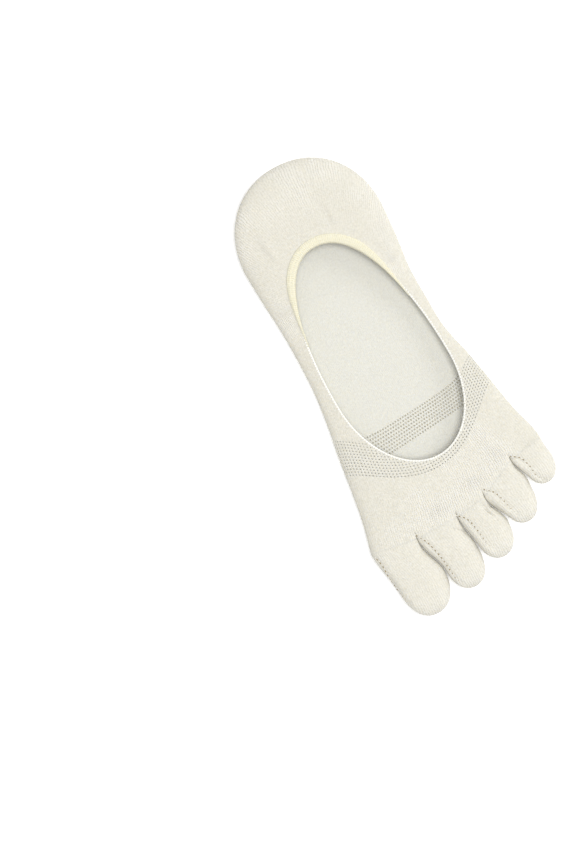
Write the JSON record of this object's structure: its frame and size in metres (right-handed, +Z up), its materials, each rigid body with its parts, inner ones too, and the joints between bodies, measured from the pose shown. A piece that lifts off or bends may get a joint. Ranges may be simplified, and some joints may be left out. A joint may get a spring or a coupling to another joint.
{
  "type": "toe sock",
  "caption": "Low-cut toe sock lying flat: hollow knitted foot with an elastic-edged opening on top, a heel band and separate closed toe pockets.",
  "frame": {"origin": "on the floor, under the centre of the lying sock's box", "axes": "+Y towards the heel, -Y towards the toes, +X towards the little toe's side, +Z up out of the foot opening"},
  "size_m": [0.0898, 0.205, 0.0126],
  "materials": {
    "knit": "fine cream cotton knit, matt",
    "elastic_edge": "off-white covered elastic yarn, beaded, matt",
    "heel_band": "pale yellow elastic knit hem, matt"
  },
  "bodies": {
    "root": {"foot": "knit", "big_toe": "knit", "second_toe": "knit", "third_toe": "knit", "fourth_toe": "knit", "little_toe": "knit", "opening_edge": "elastic_edge", "heel_band": "heel_band"}
  },
  "joints": []
}
